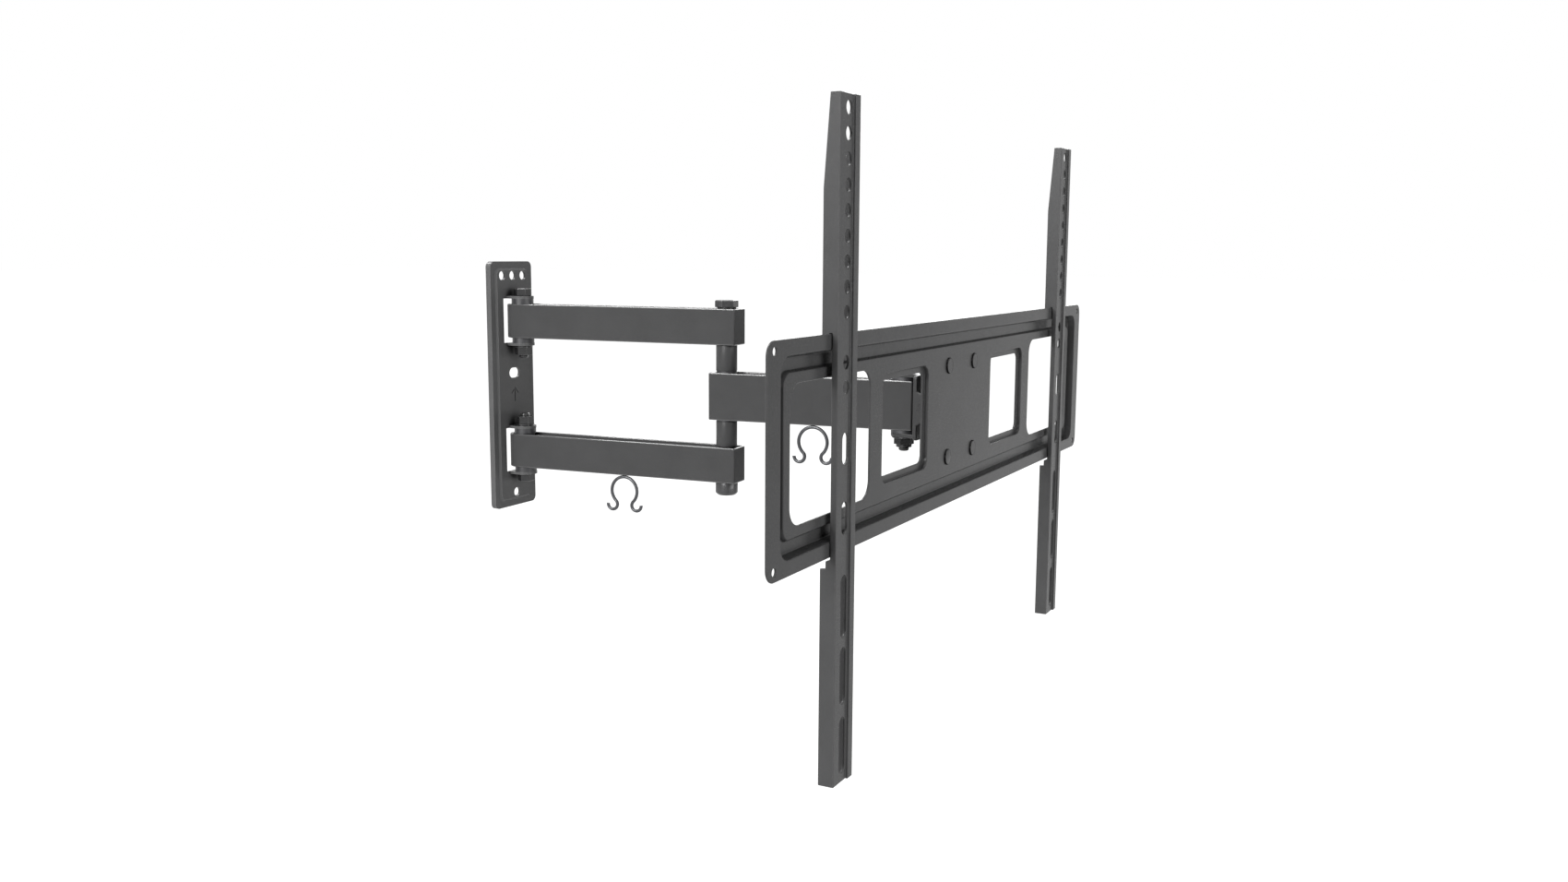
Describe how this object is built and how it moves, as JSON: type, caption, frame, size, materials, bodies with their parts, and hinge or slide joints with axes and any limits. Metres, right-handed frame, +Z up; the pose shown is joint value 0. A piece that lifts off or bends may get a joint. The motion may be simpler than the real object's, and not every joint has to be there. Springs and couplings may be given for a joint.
{
  "type": "tv wall mount",
  "caption": "Swivelling TV wall mount: slotted wall plate, paired strap arms, forearm, tilting head and a wide perforated screen plate with hooked-on upright rails.",
  "frame": {"origin": "middle of the wall plate's height and width, on the plane of the wall", "axes": "+Z up, +Y into the wall, -Y towards the viewer of the screen, +X to the right for someone facing the wall"},
  "size_m": [0.645, 0.4217, 0.43],
  "materials": {
    "coat": "matt",
    "fasteners": "satin",
    "nylon": "matt",
    "wire": "satin",
    "tubes": "matt"
  },
  "bodies": {
    "base": {"wall_plate": "coat", "upper_wall_bolt": "fasteners", "lower_wall_bolt": "fasteners", "upper_wall_nut": "fasteners", "lower_wall_nut": "fasteners", "upper_wall_bushes": "nylon", "lower_wall_bushes": "nylon"},
    "arms": {"upper_arm": "coat", "lower_arm": "coat", "upper_arm_wall_tube": "tubes", "lower_arm_wall_tube": "tubes", "upper_arm_elbow_tube": "tubes", "lower_arm_elbow_tube": "tubes", "elbow_bolt": "fasteners", "elbow_washer": "fasteners", "elbow_nut": "fasteners", "upper_spacer": "coat", "lower_spacer": "coat", "arm_clip": "wire"},
    "forearm": {"forearm": "coat", "forearm_elbow_tube": "tubes", "forearm_head_tube": "tubes", "elbow_bushes": "nylon", "forearm_clip": "wire"},
    "head": {"swivel_bracket": "coat", "head_bolt": "fasteners", "head_washer": "fasteners", "head_nut": "fasteners", "head_bushes": "nylon"},
    "screen": {"screen_plate": "coat", "plate_rivets": "fasteners", "tilt_bracket": "coat", "tilt_bolt": "fasteners", "tilt_washers": "fasteners", "tilt_nut": "fasteners"},
    "left_rail": {"left_rail": "coat"},
    "right_rail": {"right_rail": "coat"}
  },
  "joints": [
    {"name": "wall_swivel", "type": "hinge", "parent": "base", "child": "arms", "pos_m": [0, -0.017, 0], "axis": [0, 0, 1], "range_deg": [-90, 80]},
    {"name": "elbow_swivel", "type": "hinge", "parent": "arms", "child": "forearm", "pos_m": [0.016, -0.214, 0], "axis": [0, 0, -1], "range_deg": [-120, 120]},
    {"name": "head_swivel", "type": "hinge", "parent": "forearm", "child": "head", "pos_m": [0.032, -0.366, 0], "axis": [0, 0, 1], "range_deg": [-60, 60]},
    {"name": "tilt", "type": "hinge", "parent": "head", "child": "screen", "pos_m": [0.032, -0.396, 0], "axis": [1, 0, 0], "range_deg": [-5, 12]},
    {"name": "left_rail_slide", "type": "slide", "parent": "screen", "child": "left_rail", "axis": [1, 0, 0], "range_m": [-0.075, 0.15]},
    {"name": "right_rail_slide", "type": "slide", "parent": "screen", "child": "right_rail", "axis": [1, 0, 0], "range_m": [-0.15, 0.02]}
  ]
}
